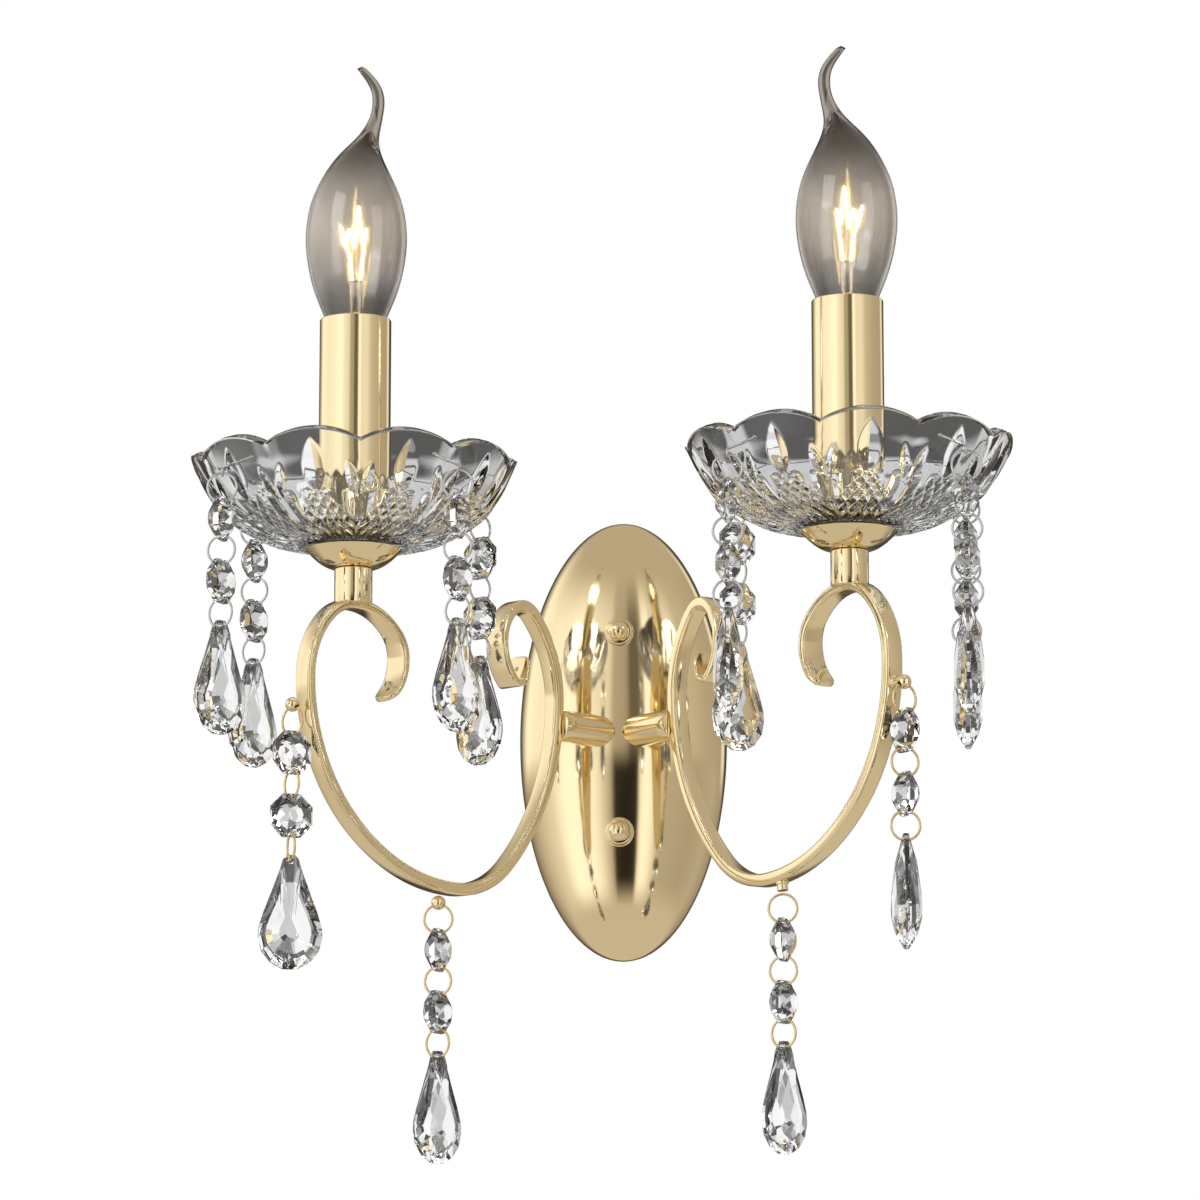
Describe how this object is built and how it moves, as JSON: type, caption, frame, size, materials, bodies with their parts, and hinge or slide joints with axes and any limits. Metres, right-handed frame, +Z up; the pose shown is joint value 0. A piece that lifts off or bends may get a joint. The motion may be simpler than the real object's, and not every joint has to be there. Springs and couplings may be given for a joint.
{
  "type": "double arm wall sconce",
  "caption": "Wall light with an oval domed plate, scrolled flat-bar arms, scalloped cut-glass dishes, candle sleeves with flame bulbs, and hanging chains of faceted crystals",
  "frame": {"origin": "middle of the plate's back, on the wall between the two wall screws", "axes": "+X right as seen from the front, +Y into the wall, +Z up; the front looks along -Y"},
  "size_m": [0.2806, 0.1733, 0.3818],
  "materials": {
    "gold_plate": "polished pale gold plate",
    "gold_wire": "bright gold wire",
    "silver_wire": "bright silver wire",
    "zinc_steel": "zinc plated",
    "nickel_cap": "nickel plated",
    "white_plastic": "moulded heat-proof plastic",
    "cut_glass": "clear, pressed and cut",
    "crystal": "clear, faceted and polished",
    "bulb_glass": "clear, faintly smoky",
    "filament": "glowing wire"
  },
  "bodies": {
    "wall_light": {"backplate": "gold_plate", "wall_strap": "zinc_steel", "fixing_studs": "zinc_steel", "cap_nuts": "gold_plate", "terminal_block": "white_plastic", "terminal_screws": "zinc_steel", "left_arm": "gold_plate", "left_arm_boss": "gold_plate", "left_boss_nut": "zinc_steel", "left_stem": "gold_plate", "left_drip_cup": "gold_plate", "left_glass_dish": "cut_glass", "left_hanger_pins": "silver_wire", "left_nipple": "zinc_steel", "left_lampholder": "white_plastic", "left_candle_sleeve": "gold_plate", "right_arm": "gold_plate", "right_arm_boss": "gold_plate", "right_boss_nut": "zinc_steel", "right_stem": "gold_plate", "right_drip_cup": "gold_plate", "right_glass_dish": "cut_glass", "right_hanger_pins": "silver_wire", "right_nipple": "zinc_steel", "right_lampholder": "white_plastic", "right_candle_sleeve": "gold_plate"},
    "left_front_left_chain": {"left_front_left_rings": "silver_wire", "left_front_left_crystals": "crystal"},
    "left_front_right_chain": {"left_front_right_rings": "silver_wire", "left_front_right_crystals": "crystal"},
    "left_back_left_chain": {"left_back_left_rings": "silver_wire", "left_back_left_crystals": "crystal"},
    "left_back_right_chain": {"left_back_right_rings": "silver_wire", "left_back_right_crystals": "crystal"},
    "left_arm_outer_chain": {"left_arm_outer_rings": "gold_wire", "left_arm_outer_crystals": "crystal"},
    "left_arm_bottom_chain": {"left_arm_bottom_rings": "gold_wire", "left_arm_bottom_crystals": "crystal"},
    "left_bulb": {"left_bulb_glass": "bulb_glass", "left_bulb_cap": "nickel_cap", "left_bulb_mount": "bulb_glass", "left_filament": "filament"},
    "right_front_left_chain": {"right_front_left_rings": "silver_wire", "right_front_left_crystals": "crystal"},
    "right_front_right_chain": {"right_front_right_rings": "silver_wire", "right_front_right_crystals": "crystal"},
    "right_back_left_chain": {"right_back_left_rings": "silver_wire", "right_back_left_crystals": "crystal"},
    "right_back_right_chain": {"right_back_right_rings": "silver_wire", "right_back_right_crystals": "crystal"},
    "right_arm_outer_chain": {"right_arm_outer_rings": "gold_wire", "right_arm_outer_crystals": "crystal"},
    "right_arm_bottom_chain": {"right_arm_bottom_rings": "gold_wire", "right_arm_bottom_crystals": "crystal"},
    "right_bulb": {"right_bulb_glass": "bulb_glass", "right_bulb_cap": "nickel_cap", "right_bulb_mount": "bulb_glass", "right_filament": "filament"}
  },
  "joints": [
    {"name": "left_front_left_swing", "type": "hinge", "parent": "wall_light", "child": "left_front_left_chain", "pos_m": [-0.12433, -0.15709, 0.06933], "axis": [1, 0, 0], "range_deg": [-12, 12]},
    {"name": "left_front_right_swing", "type": "hinge", "parent": "wall_light", "child": "left_front_right_chain", "pos_m": [-0.04513, -0.15709, 0.06933], "axis": [1, 0, 0], "range_deg": [-12, 12]},
    {"name": "left_back_left_swing", "type": "hinge", "parent": "wall_light", "child": "left_back_left_chain", "pos_m": [-0.12433, -0.0779, 0.06933], "axis": [1, 0, 0], "range_deg": [-12, 12]},
    {"name": "left_back_right_swing", "type": "hinge", "parent": "wall_light", "child": "left_back_right_chain", "pos_m": [-0.04513, -0.0779, 0.06933], "axis": [0.6428, 0.766, 0], "range_deg": [-12, 12]},
    {"name": "left_arm_outer_swing", "type": "hinge", "parent": "wall_light", "child": "left_arm_outer_chain", "pos_m": [-0.10232, -0.13846, -0.01202], "axis": [-0.6428, -0.766, 0], "range_deg": [-15, 15]},
    {"name": "left_arm_bottom_swing", "type": "hinge", "parent": "wall_light", "child": "left_arm_bottom_chain", "pos_m": [-0.05821, -0.08589, -0.07334], "axis": [-0.0872, -0.9962, 0], "range_deg": [-15, 15]},
    {"name": "left_bulb_out", "type": "slide", "parent": "wall_light", "child": "left_bulb", "axis": [0, 0, 1], "range_m": [0, 0.03]},
    {"name": "right_front_left_swing", "type": "hinge", "parent": "wall_light", "child": "right_front_left_chain", "pos_m": [0.0447, -0.15658, 0.07359], "axis": [1, 0, 0], "range_deg": [-12, 12]},
    {"name": "right_front_right_swing", "type": "hinge", "parent": "wall_light", "child": "right_front_right_chain", "pos_m": [0.1239, -0.15658, 0.07359], "axis": [1, 0, 0], "range_deg": [-12, 12]},
    {"name": "right_back_left_swing", "type": "hinge", "parent": "wall_light", "child": "right_back_left_chain", "pos_m": [0.0447, -0.07739, 0.07359], "axis": [0.6428, -0.766, 0], "range_deg": [-12, 12]},
    {"name": "right_back_right_swing", "type": "hinge", "parent": "wall_light", "child": "right_back_right_chain", "pos_m": [0.1239, -0.07739, 0.07359], "axis": [1, 0, 0], "range_deg": [-12, 12]},
    {"name": "right_arm_outer_swing", "type": "hinge", "parent": "wall_light", "child": "right_arm_outer_chain", "pos_m": [0.10243, -0.13859, -0.00656], "axis": [0.6428, -0.766, 0], "range_deg": [-15, 15]},
    {"name": "right_arm_bottom_swing", "type": "hinge", "parent": "wall_light", "child": "right_arm_bottom_chain", "pos_m": [0.06007, -0.08811, -0.0708], "axis": [-0.0872, -0.9962, 0], "range_deg": [-15, 15]},
    {"name": "right_bulb_out", "type": "slide", "parent": "wall_light", "child": "right_bulb", "axis": [0, 0, 1], "range_m": [0, 0.03]}
  ]
}
